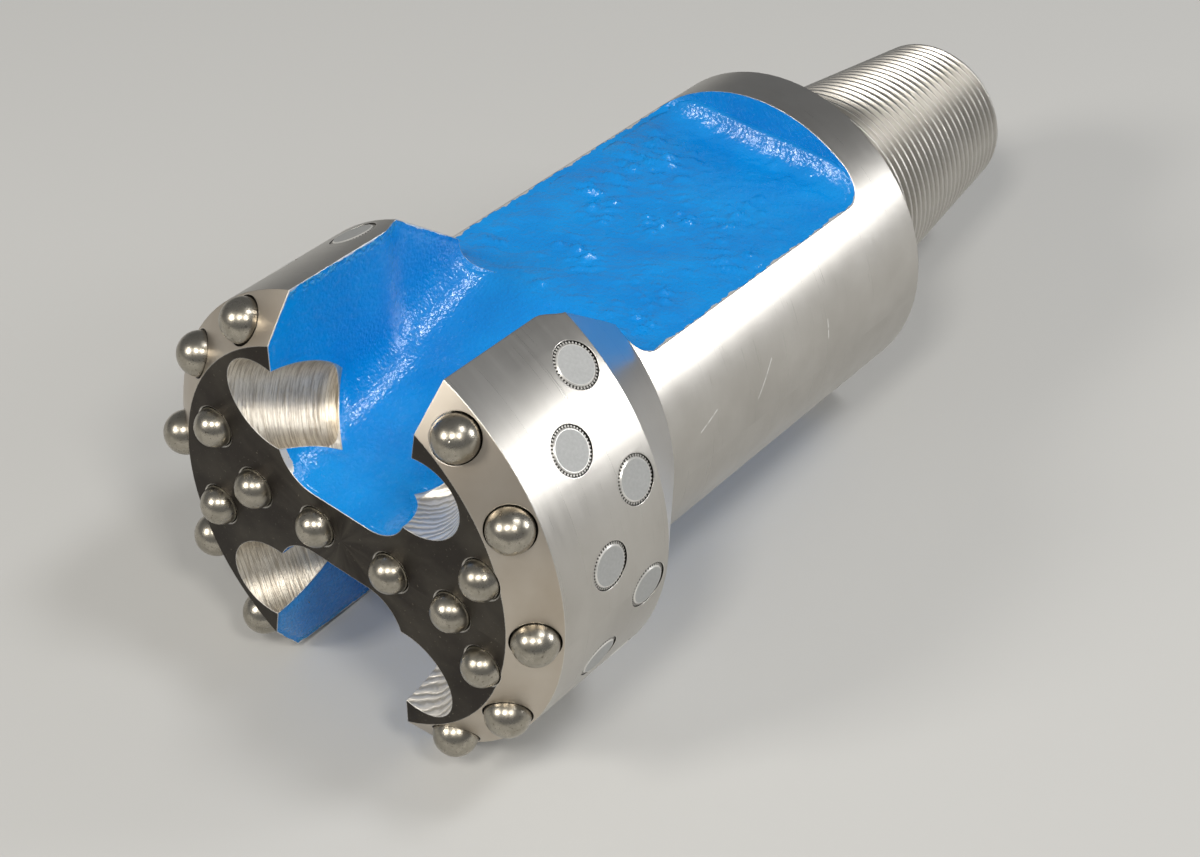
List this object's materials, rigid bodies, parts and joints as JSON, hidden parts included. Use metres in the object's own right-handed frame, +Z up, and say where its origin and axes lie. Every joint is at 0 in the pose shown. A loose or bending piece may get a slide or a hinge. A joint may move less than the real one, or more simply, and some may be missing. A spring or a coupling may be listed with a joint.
{
  "type": "cable tool drill bit",
  "caption": "Percussion drill bit with two wings, domed carbide buttons on the face and bevel, flat gauge inserts, wrench flats and a tapered threaded pin, lying on its side.",
  "frame": {"origin": "centre of the pin's shoulder, on the bit's axis", "axes": "+X towards the pin, tipped down with it by the 4.42 degrees at which the bit lies; +Y towards the left wing seen from the face; +Z up, out of the upper watercourse"},
  "size_m": [0.3327, 0.1534, 0.1437],
  "materials": {
    "forged_steel": "turned steel, with blue paint on the forged channels and flats",
    "carbide_buttons": "tumbled tungsten carbide",
    "carbide_inserts": "ground tungsten carbide"
  },
  "bodies": {
    "root": {"bit_body": "forged_steel", "face_button_left_inner": "carbide_buttons", "face_button_left_middle": "carbide_buttons", "face_button_left_upper": "carbide_buttons", "face_button_left_lower": "carbide_buttons", "face_button_right_inner": "carbide_buttons", "face_button_right_middle": "carbide_buttons", "face_button_right_upper": "carbide_buttons", "face_button_right_lower": "carbide_buttons", "bevel_button_left_1": "carbide_buttons", "bevel_button_left_2": "carbide_buttons", "bevel_button_left_3": "carbide_buttons", "bevel_button_left_4": "carbide_buttons", "bevel_button_left_5": "carbide_buttons", "bevel_button_right_1": "carbide_buttons", "bevel_button_right_2": "carbide_buttons", "bevel_button_right_3": "carbide_buttons", "bevel_button_right_4": "carbide_buttons", "bevel_button_right_5": "carbide_buttons", "gauge_insert_left_1": "carbide_inserts", "gauge_insert_left_2": "carbide_inserts", "gauge_insert_left_3": "carbide_inserts", "gauge_insert_left_4": "carbide_inserts", "gauge_insert_left_5": "carbide_inserts", "gauge_insert_left_6": "carbide_inserts", "gauge_insert_left_7": "carbide_inserts", "gauge_insert_left_8": "carbide_inserts", "gauge_insert_left_9": "carbide_inserts", "gauge_insert_right_1": "carbide_inserts", "gauge_insert_right_2": "carbide_inserts", "gauge_insert_right_3": "carbide_inserts", "gauge_insert_right_4": "carbide_inserts", "gauge_insert_right_5": "carbide_inserts", "gauge_insert_right_6": "carbide_inserts", "gauge_insert_right_7": "carbide_inserts", "gauge_insert_right_8": "carbide_inserts", "gauge_insert_right_9": "carbide_inserts"}
  },
  "joints": []
}
